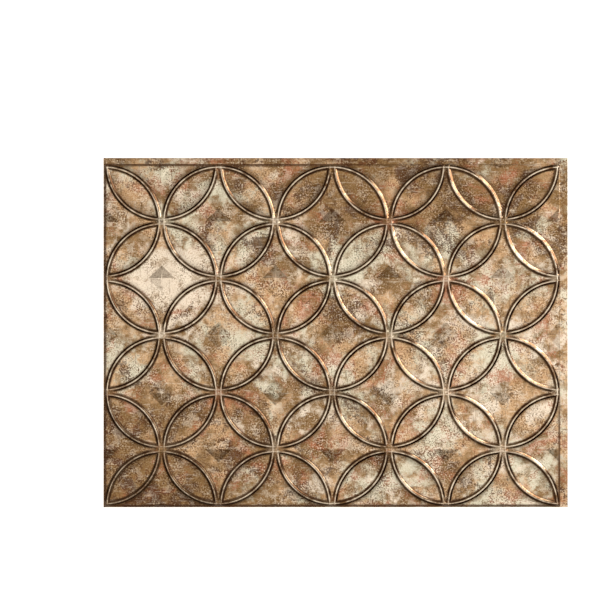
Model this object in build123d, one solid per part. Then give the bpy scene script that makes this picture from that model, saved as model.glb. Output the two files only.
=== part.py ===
from build123d import *
import math
import os

# A backsplash panel, vacuum formed from one sheet of vinyl: a field of interlocking rings with a
# diamond stud inside each ring, a rim that slopes down to the wall on all four sides, and a lap
# flange on the right and upper edges, over which the rims of the next panels lie. The panel lies on
# its back, face up. All sizes are in millimetres and angles in degrees.

# Ring pattern: ring_gap is from crest to crest where two rings stand side by side
ring_pitch = 150.7
ring_columns = 4
ring_rows = 3
ring_gap = 6.3
rib_width = 8.5
rib_height = 2.6

# Diamond studs, which come up to the level of the ribs' crests
stud_diagonal = 36.0
stud_height = rib_height

# Sheet and rim: the ground of the field stands field_rise above the flanges, and the rim's foot
# stands rim_offset outside the centres of the outermost rings
sheet_thickness = 0.76
field_rise = 1.2
rim_slope = 60.0
rim_offset = 0.8

# Edges, from the centres of the outermost rings to the trimmed outline
edge_lip = 2.0
side_flange = 11.2
top_flange = 9.4

# Spare stock of the mould, outside and below the sheet
mould_margin = 20.0
mould_depth = 5.0

# Sizes that follow from those
half_pitch = ring_pitch / 2
ring_radius = (ring_pitch - ring_gap) / 2
field_length = ring_columns * ring_pitch
field_width = ring_rows * ring_pitch
panel_length = edge_lip + field_length + side_flange
panel_width = edge_lip + field_width + top_flange
relief_height = field_rise + rib_height
field_centre = Pos((edge_lip - side_flange) / 2, (edge_lip - top_flange) / 2, 0)


def field_outline(offset):
    """The rectangle through the outermost ring centres, grown by an offset on all four sides."""
    return Rectangle(field_length + 2 * offset, field_width + 2 * offset)


def panel_outline(offset):
    """The panel's trimmed outline, grown by an offset on all four sides."""
    return Rectangle(panel_length + 2 * offset, panel_width + 2 * offset)


def ring_places():
    """The centre of every ring that reaches into the field, from the field's centre."""
    for column in range(2 * ring_columns + 1):
        for row in range(2 * ring_rows + 1):
            if (column + row) % 2 == 1:
                yield Pos(column * half_pitch - field_length / 2, row * half_pitch - field_width / 2, 0)


def ring_rib():
    """One ring's raised rib: two sloping flanks that meet in a crest, turned about the ring's centre."""
    inner_foot = ring_radius - rib_width / 2
    outer_foot = ring_radius + rib_width / 2
    profile = Polyline(
        (inner_foot, 0),
        (inner_foot, field_rise),
        (ring_radius, field_rise + rib_height),
        (outer_foot, field_rise),
        (outer_foot, 0),
        close=True,
    )
    return revolve(Plane.XZ * make_face(profile), Axis.Z)


def diamond_stud():
    """One low four-sided stud whose corners point along the panel's edges."""
    side = stud_diagonal / math.sqrt(2)
    base = Pos(0, 0, field_rise) * Rectangle(side, side, rotation=45)
    return loft([base.face(), Vertex(0, 0, field_rise + stud_height)], ruled=True)


def raised_field():
    """The rings and studs on their ground, cut off along the sloping rim."""
    rib = ring_rib()
    stud = diamond_stud()
    ribs = [place * rib for place in ring_places()]
    studs = [place * stud for place in ring_places()]
    ground = extrude(field_outline(mould_margin), field_rise)
    rim_run = relief_height / math.tan(math.radians(rim_slope))
    rim_foot = field_outline(rim_offset)
    rim_top = Pos(0, 0, relief_height) * field_outline(rim_offset - rim_run)
    rim = loft([rim_foot.face(), rim_top.face()], ruled=True)
    return field_centre * (ground.fuse(*ribs, *studs) & rim)


def mould():
    """The form that the sheet is drawn over, so that the sheet's back follows it."""
    bed = extrude(panel_outline(mould_margin), -mould_depth)
    return bed + raised_field()


def formed_sheet():
    """The sheet on the mould, one thickness deep everywhere, trimmed to the panel's outline."""
    form = mould()
    trim = extrude(panel_outline(0), relief_height + sheet_thickness)
    return (Pos(0, 0, sheet_thickness) * form - form) & trim


panel = formed_sheet()
os.makedirs("parts", exist_ok=True)
export_step(panel, "parts/backsplash_panel.step")
print("volume", panel.volume, "size", panel.bounding_box().size)
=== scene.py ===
"""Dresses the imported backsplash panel: a formed vinyl sheet with rounded ribs under an aged bronze film."""

import math

import bmesh
import bpy
from bpy.props import FloatProperty, FloatVectorProperty, IntProperty, PointerProperty
from mathutils import Matrix, Vector


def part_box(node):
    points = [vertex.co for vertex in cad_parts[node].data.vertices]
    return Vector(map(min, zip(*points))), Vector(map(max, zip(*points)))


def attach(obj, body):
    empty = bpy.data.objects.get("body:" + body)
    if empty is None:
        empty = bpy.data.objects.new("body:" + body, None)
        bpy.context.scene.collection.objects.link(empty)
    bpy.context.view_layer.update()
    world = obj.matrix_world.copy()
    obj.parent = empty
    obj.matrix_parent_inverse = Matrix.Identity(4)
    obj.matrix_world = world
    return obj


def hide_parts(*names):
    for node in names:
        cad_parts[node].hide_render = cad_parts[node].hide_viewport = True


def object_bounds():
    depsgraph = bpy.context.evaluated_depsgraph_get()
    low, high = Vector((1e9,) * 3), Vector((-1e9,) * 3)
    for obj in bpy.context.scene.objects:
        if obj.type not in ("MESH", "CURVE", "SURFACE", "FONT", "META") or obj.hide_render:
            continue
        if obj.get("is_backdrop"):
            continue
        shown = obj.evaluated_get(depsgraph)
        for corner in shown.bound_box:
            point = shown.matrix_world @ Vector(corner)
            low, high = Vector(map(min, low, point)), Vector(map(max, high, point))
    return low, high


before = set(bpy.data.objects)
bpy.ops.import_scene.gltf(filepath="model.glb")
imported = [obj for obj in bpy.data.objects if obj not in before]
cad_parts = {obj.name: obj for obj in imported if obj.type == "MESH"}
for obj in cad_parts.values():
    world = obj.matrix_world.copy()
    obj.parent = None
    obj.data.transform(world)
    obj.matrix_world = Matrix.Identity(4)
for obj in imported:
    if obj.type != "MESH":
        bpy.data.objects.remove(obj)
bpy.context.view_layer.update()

bl_info = {
    "name": "Ring Backsplash Panel",
    "version": (1, 0, 0),
    "blender": (4, 5, 0),
    "location": "3D View > Sidebar > Backsplash",
    "description": "Models a formed vinyl backsplash panel with interlocking rings and its aged bronze film",
    "category": "Add Mesh",
}

PANEL_NODE = "backsplash_panel"
MERGE_DISTANCE = 1e-6
SCORE_DISTANCE = 1e-7
FILM_MARKS = ("rib", "crossing", "rim")


class PanelSizes(bpy.types.PropertyGroup):
    """Sizes of the formed sheet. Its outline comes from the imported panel."""

    columns: IntProperty(name="Ring Columns", description="Rings along the long edge", default=4, min=1)
    rows: IntProperty(name="Ring Rows", description="Rings along the short edge", default=3, min=1)
    edge_lip: FloatProperty(
        name="Edge Lip", description="Outermost ring centres to the left and lower edges",
        default=0.002, unit="LENGTH", precision=4)
    side_flange: FloatProperty(
        name="Side Flange", description="Outermost ring centres to the right edge",
        default=0.0112, unit="LENGTH", precision=4)
    ring_gap: FloatProperty(
        name="Ring Gap", description="Crest to crest where two rings stand side by side",
        default=0.0063, unit="LENGTH", precision=4)
    rib_width: FloatProperty(
        name="Rib Width", description="Foot to foot across a ring's rib",
        default=0.0092, unit="LENGTH", precision=4)
    crest_round: FloatProperty(
        name="Crest Rounding", description="Half width of the rounded top of a rib",
        default=0.0008, unit="LENGTH", precision=4)
    foot_round: FloatProperty(
        name="Foot Rounding", description="Width of the rounded foot of a rib",
        default=0.0013, unit="LENGTH", precision=4)
    stud_diagonal: FloatProperty(
        name="Stud Diagonal", description="Corner to corner across a diamond stud",
        default=0.036, unit="LENGTH", precision=4)
    field_rise: FloatProperty(
        name="Field Rise", description="Height of the ground above the flanges",
        default=0.0012, unit="LENGTH", precision=4)
    rim_offset: FloatProperty(
        name="Rim Offset", description="Outermost ring centres to the foot of the sloping rim",
        default=0.0008, unit="LENGTH", precision=4)
    rim_slope: FloatProperty(
        name="Rim Slope", description="Slope of the rim from the wall",
        default=math.radians(60), subtype="ANGLE")
    sheet_thickness: FloatProperty(
        name="Sheet Thickness", description="Thickness of the vinyl sheet",
        default=0.00076, unit="LENGTH", precision=5)


class FilmColours(bpy.types.PropertyGroup):
    """Colours of the printed metal film and of the bare vinyl under it. The colour for the rib flanks is
    painted shade, and umber and cream also serve for painted shade and highlights.
    """

    beige: FloatVectorProperty(
        name="Beige", description="Main tone of the film", subtype="COLOR", default=(0.47, 0.290, 0.148))
    olive: FloatVectorProperty(
        name="Olive", description="Dull bronze between the pale clouds", subtype="COLOR",
        default=(0.205, 0.115, 0.042))
    # Cream also serves as the painted highlight along the crests of the ribs.
    cream: FloatVectorProperty(
        name="Cream", description="Palest worn places", subtype="COLOR", default=(0.72, 0.610, 0.475))
    silver: FloatVectorProperty(
        name="Silver", description="Greenish grey leaf", subtype="COLOR", default=(0.60, 0.565, 0.425))
    rust: FloatVectorProperty(
        name="Rust", description="Reddish brown clouds", subtype="COLOR", default=(0.37, 0.130, 0.060))
    # Umber also carries painted shade along the rim, at the feet of the ribs and in patches on the flanks.
    umber: FloatVectorProperty(
        name="Umber", description="Brown stains and grain", subtype="COLOR", default=(0.055, 0.020, 0.006))
    # Painted shade: a dark colour for the steep flanks of the ribs, in place of the dark reflections they
    # would show.
    shaded_flank: FloatVectorProperty(
        name="Flank", description="Dark glazed metal on the flanks of the ribs", subtype="COLOR",
        default=(0.120, 0.076, 0.040))
    bare_vinyl: FloatVectorProperty(
        name="Bare Vinyl", description="Back and trimmed edges", subtype="COLOR", default=(0.30, 0.27, 0.23))


class StageSettings(bpy.types.PropertyGroup):
    """Camera, light and floor."""

    lens: FloatProperty(name="Lens", description="Focal length", default=85.0, unit="CAMERA")
    frame_width: FloatProperty(
        name="Frame Width", description="Width of the picture at the panel", default=0.7945, unit="LENGTH")
    view_centre: FloatVectorProperty(
        name="View Centre", description="Point of the panel below the camera", size=2,
        default=(-0.0473, 0.0432), unit="LENGTH")
    overhead_power: FloatProperty(
        name="Overhead Power", description="Softbox above the panel", default=27.5, unit="POWER")
    key_power: FloatProperty(
        name="Key Power", description="Low light at the upper right", default=12.5, unit="POWER")
    strip_power: FloatProperty(
        name="Strip Power", description="Strip above the low light", default=4.5, unit="POWER")
    floor_glow: FloatProperty(
        name="Floor Glow", description="Emission that keeps the floor pale beside the film", default=0.62)
    floor_colour: FloatVectorProperty(
        name="Floor", description="Plain floor and backdrop", subtype="COLOR", default=(0.93, 0.93, 0.92))
    horizon_colour: FloatVectorProperty(
        name="Horizon", description="Dim surroundings", subtype="COLOR", default=(0.030, 0.019, 0.010))
    wall_colour: FloatVectorProperty(
        name="Walls", description="Pale surroundings halfway up", subtype="COLOR",
        default=(0.78, 0.68, 0.56))
    ceiling_colour: FloatVectorProperty(
        name="Ceiling", description="Dimmer surroundings of the softbox", subtype="COLOR",
        default=(0.22, 0.20, 0.17))


class Layout:
    """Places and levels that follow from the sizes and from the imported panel's box."""

    def __init__(self, sizes):
        self.sizes = sizes
        self.low, self.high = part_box(PANEL_NODE)
        self.pitch = (self.high.x - self.low.x - sizes.edge_lip - sizes.side_flange) / sizes.columns
        self.half = self.pitch / 2
        self.radius = (self.pitch - sizes.ring_gap) / 2
        self.field_low = Vector((self.low.x + sizes.edge_lip, self.low.y + sizes.edge_lip, 0))
        field_size = Vector((sizes.columns * self.pitch, sizes.rows * self.pitch, 0))
        self.field_high = self.field_low + field_size
        self.rib_height = self.high.z - self.low.z - sizes.field_rise - sizes.sheet_thickness

    def rib_share(self, distance):
        """A rib's height at a distance from its crest, as a share: round top, straight flank, round foot."""
        reach, crest, foot = self.sizes.rib_width / 2, self.sizes.crest_round, self.sizes.foot_round
        slope = 1 / (reach - crest / 2 - foot / 2)
        away = min(abs(distance), reach)
        if away < crest:
            return 1 - slope * away ** 2 / (2 * crest)
        if away < reach - foot:
            return 1 - slope * (away - crest / 2)
        return slope * (reach - away) ** 2 / (2 * foot)


def everything(mesh):
    """All the mesh's geometry, as the operators take it."""
    return mesh.verts[:] + mesh.edges[:] + mesh.faces[:]


def score(mesh, point, normal, clear=False):
    """Cuts edges along a plane, and takes off what lies beyond it if asked to."""
    bmesh.ops.bisect_plane(
        mesh, geom=everything(mesh), dist=SCORE_DISTANCE, plane_co=point, plane_no=normal, clear_outer=clear)


def mirror_copy(mesh, point, normal):
    """Adds the mirror image across a plane and joins the two."""
    copy = bmesh.ops.duplicate(mesh, geom=everything(mesh))["geom"]
    verts = [item for item in copy if isinstance(item, bmesh.types.BMVert)]
    faces = [item for item in copy if isinstance(item, bmesh.types.BMFace)]
    flip = Matrix.Translation(point) @ Matrix.Scale(-1, 4, normal) @ Matrix.Translation(-point)
    bmesh.ops.transform(mesh, matrix=flip, verts=verts)
    bmesh.ops.reverse_faces(mesh, faces=faces)
    bmesh.ops.remove_doubles(mesh, verts=mesh.verts[:], dist=MERGE_DISTANCE)


def repeat(mesh, count, step):
    """Repeats the whole mesh along a step and joins the copies."""
    original = everything(mesh)
    for number in range(1, count):
        copy = bmesh.ops.duplicate(mesh, geom=original)["geom"]
        verts = [item for item in copy if isinstance(item, bmesh.types.BMVert)]
        bmesh.ops.translate(mesh, verts=verts, vec=step * number)
    bmesh.ops.remove_doubles(mesh, verts=mesh.verts[:], dist=MERGE_DISTANCE)


def wedge_radii(layout):
    """Distances from the far ring's centre at which the wedge gets an arc of edges: close on the rib."""
    inside_shares, outside_shares = (0.66, 0.78), (1.10, 1.47)
    rib_bands = 10
    width = layout.sizes.rib_width
    inside = [share * layout.half for share in inside_shares]
    rib = [layout.radius - width / 2 + width * band / rib_bands for band in range(rib_bands + 1)]
    outside = [share * layout.half for share in outside_shares]
    return inside + rib + outside


def pattern_wedge(mesh, layout):
    """A quarter of the square between two ring centres, with an eighth of a stud at the origin.

    The rib that runs through the wedge belongs to the ring at the far corner of the square. The origin's
    own ring only shows beside the crossing, where the spun lines of edges stand close together.
    """
    crossing_angle, crossing_steps = math.radians(6.0), 10
    sweep_angle, sweep_steps = math.radians(39.5), 10
    half = layout.half
    far_centre = Vector((half, half, 0))
    verts = [mesh.verts.new(far_centre - Vector((0, radius, 0))) for radius in wedge_radii(layout)]
    line = verts + [mesh.edges.new(pair) for pair in zip(verts, verts[1:])]
    for angle, steps in ((crossing_angle, crossing_steps), (sweep_angle, sweep_steps)):
        line = bmesh.ops.spin(
            mesh, geom=line, cent=far_centre, axis=(0, 0, -1), angle=angle, steps=steps, use_duplicate=False,
        )["geom_last"]
    score(mesh, Vector((0, 0, 0)), Vector((-1, 1, 0)), clear=True)
    score(mesh, Vector((half, 0, 0)), Vector((1, 1, 0)), clear=True)
    score(mesh, Vector((0, 0, 0)), Vector((0, -1, 0)), clear=True)
    raise_relief(mesh, layout, far_centre)


def raise_relief(mesh, layout, far_centre):
    """Lifts the wedge's ribs and its part of a stud from the ground, and sets marks for the film.

    Where four ribs cross, the sheet doesn't reach down to the ground between them, so the middle is filled
    part of the way up. The mark for the crossing reaches further into the valley between two rings side by
    side than into the lens of two rings that overlap.
    """
    sizes = layout.sizes
    softness = 0.0007
    stud_reach = sizes.stud_diagonal / 2
    fill_reach, fill_share = 0.006, 0.75
    lens_reach, valley_reach = 0.0115, 0.031
    crossing_point = Vector((layout.half, 0, 0))
    for line in (stud_reach - softness, stud_reach, stud_reach + softness):
        score(mesh, Vector((line, 0, 0)), Vector((1, 1, 0)))
    score(mesh, Vector((0, softness, 0)), Vector((0, 1, 0)))
    for name in FILM_MARKS:
        mesh.verts.layers.float.new(name)
    rib = mesh.verts.layers.float["rib"]
    crossing = mesh.verts.layers.float["crossing"]
    for vert in mesh.verts:
        from_far = (vert.co - far_centre).length
        from_crossing = (vert.co - crossing_point).length
        own = layout.rib_share(vert.co.xy.length - layout.radius)
        far = layout.rib_share(from_far - layout.radius)
        fill = fill_share * max(1 - (from_crossing / fill_reach) ** 2, 0)
        stud = max(1 - (vert.co.x + vert.co.y) / stud_reach, 0)
        reach = valley_reach if from_far > layout.radius else lens_reach
        vert[rib] = max(own, far)
        vert[crossing] = max(1 - from_crossing / reach, 0)
        vert.co.z = sizes.field_rise + layout.rib_height * max(own, far, fill, stud)


def ring_field(mesh, layout):
    """The whole field of rings and studs: the wedge mirrored into one square of pattern, and repeated."""
    half = layout.half
    pattern_wedge(mesh, layout)
    mirror_copy(mesh, Vector((0, 0, 0)), Vector((1, -1, 0)).normalized())
    mirror_copy(mesh, Vector((half, 0, 0)), Vector((1, 1, 0)).normalized())
    mirror_copy(mesh, Vector((half, 0, 0)), Vector((1, 0, 0)))
    mirror_copy(mesh, Vector((0, 0, 0)), Vector((0, 1, 0)))
    repeat(mesh, layout.sizes.columns, Vector((layout.pitch, 0, 0)))
    repeat(mesh, layout.sizes.rows, Vector((0, layout.pitch, 0)))
    bmesh.ops.translate(mesh, verts=mesh.verts[:], vec=layout.field_low + Vector((0, half, 0)))


def cut_rim(mesh, layout):
    """Cuts the relief down along the sloping rim, and marks a painted shadow inside it instead of the
    crossings.
    """
    sizes = layout.sizes
    # Width of the painted shadow inside the rim.
    shadow_width = 0.0045
    steepness = math.tan(sizes.rim_slope)
    rim_width = (sizes.field_rise + layout.rib_height) / steepness - sizes.rim_offset
    for depth in (rim_width / 3, rim_width * 2 / 3, rim_width, shadow_width):
        margin = Vector((depth, depth, 0))
        for corner in (layout.field_low + margin, layout.field_high - margin):
            score(mesh, corner, Vector((1, 0, 0)))
            score(mesh, corner, Vector((0, 1, 0)))
    rim = mesh.verts.layers.float["rim"]
    crossing = mesh.verts.layers.float["crossing"]
    for vert in mesh.verts:
        from_low = vert.co - layout.field_low
        from_high = layout.field_high - vert.co
        inset = min(from_low.x, from_low.y, from_high.x, from_high.y)
        vert.co.z = min(vert.co.z, (sizes.rim_offset + inset) * steepness)
        vert[rim] = max(1 - inset / shadow_width, 0)
        if inset < shadow_width:
            vert[crossing] = 0


def extrude_border(mesh, low, high, rim_shadow=0.0):
    """Extrudes the sheet's border outwards and down to a rectangle on the wall, and marks its painted shadow.
    """
    border = [edge for edge in mesh.edges if edge.is_boundary]
    grown = bmesh.ops.extrude_edge_only(mesh, edges=border)["geom"]
    verts = [item for item in grown if isinstance(item, bmesh.types.BMVert)]
    old_low = Vector([min(vert.co[axis] for vert in verts) for axis in range(2)])
    old_high = Vector([max(vert.co[axis] for vert in verts) for axis in range(2)])
    factor = [(high[axis] - low[axis]) / (old_high[axis] - old_low[axis]) for axis in range(2)]
    shift = [low[axis] - old_low[axis] * factor[axis] for axis in range(2)]
    bmesh.ops.scale(mesh, verts=verts, vec=(factor[0], factor[1], 0))
    bmesh.ops.translate(mesh, verts=verts, vec=(shift[0], shift[1], 0))
    for name in FILM_MARKS:
        mark = mesh.verts.layers.float[name]
        for vert in verts:
            vert[mark] = rim_shadow if name == "rim" else 0


def add_flanges(mesh, layout):
    """Takes the field down its rim to the wall, past a painted shadow outside it, and out to the trimmed
    edges.
    """
    foot_radius, rim_foot_shadow = 0.0004, 0.7
    shadow_end = 0.0018
    rim_foot = layout.sizes.rim_offset
    for offset, rim_shadow in ((rim_foot, 1.0), (rim_foot + foot_radius, rim_foot_shadow), (shadow_end, 0.0)):
        margin = Vector((offset, offset, 0))
        extrude_border(mesh, layout.field_low - margin, layout.field_high + margin, rim_shadow)
    extrude_border(mesh, layout.low, layout.high)


def thicken(mesh, thickness):
    """Gives the sheet its thickness, with film on the front and bare vinyl behind and on the edges."""
    film_index, vinyl_index = 0, 1
    sharp_angle = math.radians(60)
    bmesh.ops.recalc_face_normals(mesh, faces=mesh.faces[:])
    for face in mesh.faces:
        face.smooth = True
        face.material_index = vinyl_index
    raised = bmesh.ops.extrude_face_region(mesh, geom=mesh.faces[:])["geom"]
    bmesh.ops.translate(
        mesh, verts=[item for item in raised if isinstance(item, bmesh.types.BMVert)], vec=(0, 0, thickness))
    for item in raised:
        if isinstance(item, bmesh.types.BMFace):
            item.material_index = film_index
    bmesh.ops.recalc_face_normals(mesh, faces=mesh.faces[:])
    for edge in mesh.edges:
        edge.smooth = edge.calc_face_angle(0) < sharp_angle


class Signal:
    """The output of a node. Arithmetic on it adds Math nodes to the same material."""

    def __init__(self, finish, socket):
        self.finish = finish
        self.socket = socket

    def combine(self, operation, first, second):
        """Adds a Math node. Either value may be a number."""
        return self.finish.node("ShaderNodeMath", {"operation": operation}, {0: first, 1: second})

    def __add__(self, other):
        return self.combine("ADD", self, other)

    __radd__ = __add__

    def __sub__(self, other):
        return self.combine("SUBTRACT", self, other)

    def __rsub__(self, other):
        return self.combine("SUBTRACT", other, self)

    def __mul__(self, other):
        return self.combine("MULTIPLY", self, other)

    __rmul__ = __mul__


def opaque(colour):
    """A colour as a socket takes it: a signal as it is, and three numbers with full alpha."""
    return colour if isinstance(colour, Signal) else (*colour, 1)


class Finish:
    """The nodes of a material or of the world, put together one by one."""

    def __init__(self, owner):
        owner.use_nodes = True
        self.owner = owner
        self.tree = owner.node_tree
        self.tree.nodes.clear()

    def node(self, kind, settings=None, sockets=None, output=0):
        """Adds a node, makes its settings, fills or links its sockets and gives one of its outputs."""
        node = self.tree.nodes.new(kind)
        for name, value in (settings or {}).items():
            setattr(node, name, value)
        for name, value in (sockets or {}).items():
            if isinstance(value, Signal):
                self.tree.links.new(value.socket, node.inputs[name])
            else:
                node.inputs[name].default_value = value
        return Signal(self, node.outputs[output])

    def place(self):
        """The piece's own coordinates, in metres."""
        return self.node("ShaderNodeTexCoord", output="Object")

    def mark(self, name):
        """A number that the piece's vertices carry."""
        return self.node("ShaderNodeAttribute", {"attribute_name": name}, output="Fac")

    def moved(self, place, offset, scale=(1, 1, 1)):
        """Coordinates that are stretched and shifted, so that two patterns differ."""
        return self.node("ShaderNodeMapping", None, {"Vector": place, "Location": offset, "Scale": scale})

    def noise(self, place, scale, detail, roughness, distortion=0.0):
        """Fractal noise with its mean near one half."""
        return self.node("ShaderNodeTexNoise", {"noise_dimensions": "3D"}, {
            "Vector": place,
            "Scale": scale,
            "Detail": detail,
            "Roughness": roughness,
            "Distortion": distortion,
        })

    def above(self, signal, low, high):
        """Zero below one value, one above another, and smooth between."""
        return self.node(
            "ShaderNodeMapRange", {"interpolation_type": "SMOOTHSTEP", "clamp": True},
            {"Value": signal, "From Min": low, "From Max": high})

    def mix(self, factor, first, second):
        """Mixes two colours. The node repeats its sockets' names for other data, so they go by number."""
        return self.node(
            "ShaderNodeMix", {"data_type": "RGBA", "clamp_factor": True},
            {0: factor, 6: opaque(first), 7: opaque(second)}, output=2)

    def bump(self, height, strength):
        """A bumpy normal, with hollows and humps of a fraction of a millimetre."""
        depth = 0.0003
        return self.node("ShaderNodeBump", None, {"Strength": strength, "Distance": depth, "Height": height})

    def close(self, sockets):
        """Ends a material in a Principled shader."""
        self.end("ShaderNodeOutputMaterial", self.node("ShaderNodeBsdfPrincipled", None, sockets))
        return self.owner

    def end(self, kind, shader):
        """Links a shader to the output."""
        output = self.tree.nodes.new(kind)
        self.tree.links.new(shader.socket, output.inputs["Surface"])


class FilmPattern:
    """Signals that the film's layers share: noise in three sizes, and large soft areas."""

    def __init__(self, film):
        self.film = film
        self.place = film.place()
        self.grain = film.noise(self.place, scale=480.0, detail=2.0, roughness=0.8) - 0.5
        self.mottle = self.noise((4.7, 1.9, 0), scale=130.0, detail=4.0, roughness=0.75) - 0.5
        self.mottled = film.above(self.mottle, 0.03, 0.20)
        self.blotch = self.noise((2.2, 6.4, 0), scale=62.0, detail=2.0, roughness=0.6) + 0.5 * self.grain
        self.pale = self.area(centre=(-0.222, 0.072), reach=(0.085, 0.065))
        self.dusk = self.area(centre=(-0.300, -0.220), reach=(0.34, 0.22))
        worn = self.area(centre=(0.230, -0.080), reach=(0.28, 0.26))
        blush = self.area(centre=(-0.230, 0.130), reach=(0.24, 0.20))
        smoke = self.area(centre=(0.130, 0.200), reach=(0.36, 0.12))
        self.shade = 0.07 * worn + 0.035 * blush - 0.10 * smoke - 0.16 * self.dusk
        self.calm = 1 - 0.55 * (smoke + self.dusk)

    def noise(self, offset, scale, detail, roughness, distortion=0.0):
        """Noise with an offset of its own, so that no two layers are alike."""
        return self.film.noise(self.film.moved(self.place, offset), scale, detail, roughness, distortion)

    def streaks(self, offset, scale):
        """Noise that is drawn out along one direction."""
        stretched = self.film.moved(self.place, offset, scale)
        return self.film.noise(stretched, scale=1.0, detail=3.0, roughness=0.6)

    def area(self, centre, reach):
        """A soft round area of the panel: one at its centre, falling to nothing."""
        offset = tuple(-centre[axis] / reach[axis] for axis in range(2)) + (0,)
        stretched = self.film.moved(self.place, offset, (1 / reach[0], 1 / reach[1], 1))
        distance = self.film.node(
            "ShaderNodeVectorMath", {"operation": "LENGTH"}, {0: stretched}, output="Value")
        return 1 - self.film.above(distance, 0.0, 1.0)

    def cloud(self, offset, scale, low, high, bias, crumbs=0.4):
        """A patch of tone whose edge crumbles into grain."""
        shape = self.noise(offset, scale, detail=3.0, roughness=0.62, distortion=0.5)
        return self.film.above(shape + 0.5 * self.mottle + crumbs * self.grain + bias, low, high)


class ReliefParts:
    """Parts of the relief, with ragged edges: foot, flanks and crest of the ribs, and the rim. The foot,
    flanks and rim carry painted shade and the crest a painted highlight.

    The limits of a part are shares of a rib's height, between which the part fades in or out.
    """

    def __init__(self, pattern):
        foot_start, flank_start = (0.0, 0.08), (0.06, 0.34)
        flank_end, crest_start = (0.76, 0.93), (0.82, 0.97)
        above = pattern.film.above
        rib, crossing, rim = [pattern.film.mark(name) for name in FILM_MARKS]
        ragged = rib + 0.22 * pattern.grain
        clear = 1 - above(crossing, 0.38, 0.78)
        # Painted shade at the feet of the ribs, where they meet the ground.
        self.foot = clear * above(ragged, *foot_start)
        # Painted shade on the flanks of the ribs, patchy, and faded out at the crossings.
        shaded_flank = above(ragged, *flank_start) * (1 - above(ragged, *flank_end)) * clear
        shaded_flank = shaded_flank * (1 - 0.5 * pattern.mottled)
        self.shaded_flank = shaded_flank * (1 - 0.30 * above(1 - pattern.blotch, 0.50, 0.64))
        # The crest mask carries a painted highlight, kept off the rim, weaker at the crossings and in the
        # dusk area.
        crest = above(ragged, *crest_start) * (1 - above(rim, 0.3, 0.7))
        self.crest = crest * (1 - 0.5 * above(crossing, 0.1, 0.6)) * (1 - 0.6 * pattern.dusk)
        # Painted shadow along the rim, left off at the upper right corner where the low key light falls.
        bright_corner = pattern.area(centre=(0.32, 0.16), reach=(0.40, 0.36))
        rim_shadow = above(rim + 0.8 * pattern.mottle, 0.25, 0.95)
        self.edge = rim_shadow * (1 - above(bright_corner, 0.05, 0.40))


class Tone:
    """The film's colour, painted over layer by layer."""

    def __init__(self, film, colour):
        self.film = film
        self.colour = colour

    def paint(self, mask, colour, strength):
        """Lays a colour over what is there, as thick as the mask says."""
        self.colour = self.film.mix(strength * mask, self.colour, colour)


def paint_clouds(tone, pattern, colours):
    """Clouds of beige, silver, cream, rust and umber, larger or smaller by area."""
    shade, pale = pattern.shade, pattern.pale
    beige = pattern.cloud((0, 0, 0), scale=17.0, low=0.45, high=0.57, bias=shade)
    silver = pattern.cloud((3.1, 0.4, 0), scale=15.0, low=0.51, high=0.61, bias=shade)
    cream = pattern.cloud((9.4, 3.3, 0), scale=24.0, low=0.56, high=0.66, bias=0.40 * pale + shade)
    rust = pattern.cloud((0.7, 5.2, 0), scale=24.0, low=0.53, high=0.67, bias=-0.2 * pale, crumbs=0.8)
    umber_bias = -0.2 * pale - 0.6 * shade
    umber = pattern.cloud((8.3, 2.9, 0), scale=21.0, low=0.55, high=0.66, bias=umber_bias, crumbs=0.6)
    tone.paint(beige, colours.beige, strength=1.0)
    tone.paint(silver, colours.silver, strength=0.90)
    tone.paint(cream, colours.cream, strength=0.90)
    tone.paint(rust, colours.rust, strength=0.85)
    tone.paint(umber, colours.umber, strength=0.85)


def paint_streaks(tone, pattern, colours):
    """Thin brushed streaks: cream along the panel and umber across it."""
    film = pattern.film
    along, across = 40, 330
    streak_limits = (0.57, 0.70)
    level = pattern.streaks((1.3, 0, 0), (along, across, 1))
    upright = pattern.streaks((6.1, 0, 0), (across, along, 1))
    tone.paint(film.above(level, *streak_limits), colours.cream, strength=0.40)
    tone.paint(film.above(upright, *streak_limits), colours.umber, strength=0.40)


def paint_grain(tone, pattern, colours):
    """Blotches, mottling and grain, which is denser in sandy places and has less cream in the dark areas."""
    blotch_limits, dark_grain_limits, pale_grain_limits = (0.53, 0.66), (-0.03, 0.16), (0.02, 0.16)
    film, blotch, grain, calm = pattern.film, pattern.blotch, pattern.grain, pattern.calm
    sand = pattern.noise((5.5, 7.7, 0), scale=32.0, detail=2.0, roughness=0.55)
    sandy = 0.35 + 0.65 * film.above(sand, 0.42, 0.60)
    tone.paint(film.above(blotch, *blotch_limits), colours.olive, strength=0.55)
    tone.paint(calm * film.above(1 - blotch, *blotch_limits), colours.cream, strength=0.35)
    tone.paint(pattern.mottled, colours.umber, strength=0.30)
    tone.paint(sandy * film.above(grain, *dark_grain_limits), colours.umber, strength=0.90)
    tone.paint(calm * sandy * film.above(-1 * grain, *pale_grain_limits), colours.cream, strength=0.60)


def paint_relief(tone, pattern, relief, colours):
    """Painted shadow on the rim, painted shade at the feet of the ribs and in patches on their flanks, and a
    painted highlight on the crests that varies as if worn.
    """
    patches = pattern.film.above(pattern.blotch, 0.42, 0.60)
    highlight_and_wear = 0.68 + 2.5 * pattern.mottle + 3.0 * (0.5 - pattern.blotch)
    # Painted shadow along the rim.
    tone.paint(relief.edge, colours.umber, strength=0.85)
    # Painted shade at the feet of the ribs.
    tone.paint(relief.foot, colours.umber, strength=0.40)
    # Painted shade on the flanks of the ribs, darker in patches.
    tone.paint(relief.shaded_flank, colours.shaded_flank, strength=1.0)
    tone.paint(relief.shaded_flank * patches, colours.umber, strength=0.80)
    # Painted highlight: cream along the crests, stronger or weaker in patches as if worn.
    tone.paint(highlight_and_wear * relief.crest, colours.cream, strength=1.0)


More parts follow.
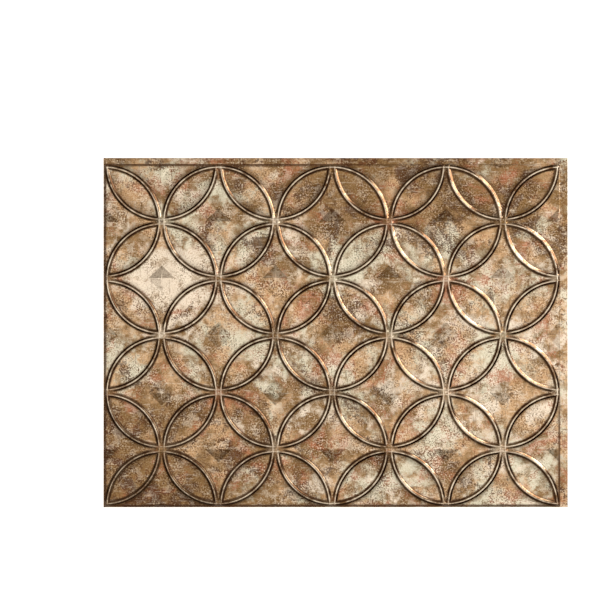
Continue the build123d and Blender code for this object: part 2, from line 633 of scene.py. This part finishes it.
def aged_bronze_film(colours):
    """The printed metal film: clouded bronze, with a duller painted shadow on the rim, painted shade on the
    flanks and painted highlights on the crests.
    """
    film = Finish(bpy.data.materials.new("aged_bronze_film"))
    pattern = FilmPattern(film)
    relief = ReliefParts(pattern)
    tone = Tone(film, colours.olive)
    paint_clouds(tone, pattern, colours)
    paint_streaks(tone, pattern, colours)
    paint_grain(tone, pattern, colours)
    paint_relief(tone, pattern, relief, colours)
    return film.close({
        "Base Color": tone.colour,
        "Metallic": 0.6 + 0.4 * relief.shaded_flank - 0.5 * relief.edge,
        "Roughness": 0.25 + 0.16 * pattern.grain + 0.08 * pattern.mottle - 0.04 * relief.shaded_flank,
        "Normal": film.bump(pattern.grain + pattern.mottle, strength=0.18),
        "Coat Weight": 0.08 * relief.shaded_flank,
        "Coat Roughness": 0.14,
        "Specular IOR Level": 0.10,
    })


def bare_vinyl(colours):
    """The uncoated vinyl of the back and the trimmed edges: dull, with faint clouds."""
    cloud_gain = 1.25
    vinyl = Finish(bpy.data.materials.new("bare_vinyl"))
    place = vinyl.place()
    clouds = vinyl.noise(place, scale=30.0, detail=5.0, roughness=0.6)
    grain = vinyl.noise(place, scale=900.0, detail=2.0, roughness=0.5)
    lighter = [min(channel * cloud_gain, 1) for channel in colours.bare_vinyl]
    return vinyl.close({
        "Base Color": vinyl.mix(clouds, colours.bare_vinyl, lighter),
        "Roughness": 0.45 + 0.2 * grain,
        "Normal": vinyl.bump(grain, strength=0.15),
    })


class BACKSPLASH_OT_panel(bpy.types.Operator):
    """Model the formed sheet with its rings, studs, rim and lap flanges"""

    bl_idname = "backsplash.panel"
    bl_label = "Formed Panel"

    def execute(self, context):
        layout = Layout(context.scene.backsplash_sizes)
        mesh = bmesh.new()
        ring_field(mesh, layout)
        cut_rim(mesh, layout)
        add_flanges(mesh, layout)
        thicken(mesh, layout.sizes.sheet_thickness)
        data = bpy.data.meshes.new("formed_panel")
        mesh.to_mesh(data)
        mesh.free()
        panel = bpy.data.objects.new("formed_panel", data)
        context.collection.objects.link(panel)
        colours = context.scene.backsplash_colours
        data.materials.append(aged_bronze_film(colours))
        data.materials.append(bare_vinyl(colours))
        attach(panel, "root")
        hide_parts(PANEL_NODE)
        return {"FINISHED"}


def area_light(name, place, target, size, power):
    """A rectangular softbox that faces a point."""
    data = bpy.data.lights.new(name, "AREA")
    data.shape = "RECTANGLE"
    data.size, data.size_y = size
    data.energy = power
    light = bpy.data.objects.new(name, data)
    light.location = place
    light.rotation_euler = (Vector(target) - Vector(place)).to_track_quat("-Z", "Y").to_euler()
    bpy.context.collection.objects.link(light)


def studio_dome(horizon, walls, ceiling, backdrop):
    """Dim surroundings near the horizon, which the steep flanks reflect, pale walls and a dim ceiling.

    In low views, a plain backdrop shows above the floor instead.
    """
    wall_start, ceiling_start = (0.25, 0.48), (0.68, 0.86)
    world = bpy.data.worlds.new("studio")
    sky = Finish(world)
    direction = sky.node("ShaderNodeTexCoord", output="Generated")
    height = sky.node("ShaderNodeSeparateXYZ", None, {"Vector": direction}, output="Z")
    colour = sky.mix(sky.above(height, *wall_start), horizon, walls)
    colour = sky.mix(sky.above(height, *ceiling_start), colour, ceiling)
    colour = sky.mix(sky.node("ShaderNodeLightPath", output="Is Camera Ray"), colour, backdrop)
    sky.end("ShaderNodeOutputWorld", sky.node("ShaderNodeBackground", None, {"Color": colour}))
    return world


def pale_floor(colour, glow, level):
    """A wide level floor that stays pale beside the metal film."""
    half_width = 6.0
    mesh = bmesh.new()
    bmesh.ops.create_grid(mesh, x_segments=1, y_segments=1, size=half_width)
    bmesh.ops.translate(mesh, verts=mesh.verts[:], vec=(0, 0, level))
    data = bpy.data.meshes.new("floor")
    mesh.to_mesh(data)
    mesh.free()
    floor = bpy.data.objects.new("floor", data)
    bpy.context.collection.objects.link(floor)
    paint = Finish(bpy.data.materials.new("pale_floor"))
    data.materials.append(paint.close({
        "Base Color": opaque(colour),
        "Roughness": 0.9,
        "Emission Color": opaque(colour),
        "Emission Strength": glow,
    }))
    floor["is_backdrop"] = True


def straight_down_camera(stage, level):
    """A camera above the panel that looks straight down and takes in the frame's width at a level."""
    data = bpy.data.cameras.new("camera")
    data.lens = stage.lens
    camera = bpy.data.objects.new("camera", data)
    distance = stage.frame_width * stage.lens / data.sensor_width
    camera.location = (*stage.view_centre, level + distance)
    bpy.context.collection.objects.link(camera)
    return camera


class BACKSPLASH_OT_stage(bpy.types.Operator):
    """Set the floor, the soft lights and the camera that looks straight down"""

    bl_idname = "backsplash.stage"
    bl_label = "Studio Stage"

    def execute(self, context):
        floor_gap = 0.0003
        scene = context.scene
        stage = scene.backsplash_stage
        low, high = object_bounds()
        pale_floor(stage.floor_colour, stage.floor_glow, low[2] - floor_gap)
        area_light(
            "overhead_softbox", place=(0.1, -0.15, 2.6), target=(0.1, -0.15, 0), size=(3.4, 1.5),
            power=stage.overhead_power)
        area_light(
            "low_key", place=(0.98, 0.62, 0.28), target=(0.15, 0.02, 0), size=(0.7, 0.28),
            power=stage.key_power)
        area_light(
            "key_strip", place=(0.98, 0.62, 0.54), target=(-0.2, 0, 0), size=(0.9, 0.22),
            power=stage.strip_power)
        scene.world = studio_dome(
            stage.horizon_colour, stage.wall_colour, stage.ceiling_colour, stage.floor_colour)
        scene.camera = straight_down_camera(stage, high[2])
        scene.view_settings.view_transform = "Standard"
        return {"FINISHED"}


class BACKSPLASH_PT_sidebar(bpy.types.Panel):
    """Lists the operators and the values that they use"""

    bl_label = "Ring Backsplash Panel"
    bl_space_type = "VIEW_3D"
    bl_region_type = "UI"
    bl_category = "Backsplash"

    def draw(self, context):
        column = self.layout.column()
        column.operator(BACKSPLASH_OT_panel.bl_idname)
        column.operator(BACKSPLASH_OT_stage.bl_idname)
        scene = context.scene
        for group in (scene.backsplash_sizes, scene.backsplash_colours, scene.backsplash_stage):
            for name in group.__annotations__:
                column.prop(group, name)


CLASSES = (
    PanelSizes, FilmColours, StageSettings, BACKSPLASH_OT_panel, BACKSPLASH_OT_stage, BACKSPLASH_PT_sidebar)


def register():
    """Adds the classes, and the three groups of values to the scene."""
    for item in CLASSES:
        bpy.utils.register_class(item)
    bpy.types.Scene.backsplash_sizes = PointerProperty(type=PanelSizes)
    bpy.types.Scene.backsplash_colours = PointerProperty(type=FilmColours)
    bpy.types.Scene.backsplash_stage = PointerProperty(type=StageSettings)


def unregister():
    """Takes the groups and the classes away again."""
    del bpy.types.Scene.backsplash_stage
    del bpy.types.Scene.backsplash_colours
    del bpy.types.Scene.backsplash_sizes
    for item in reversed(CLASSES):
        bpy.utils.unregister_class(item)


def main():
    """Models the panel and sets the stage."""
    register()
    bpy.ops.backsplash.panel()
    bpy.ops.backsplash.stage()


if __name__ == "__main__":
    main()
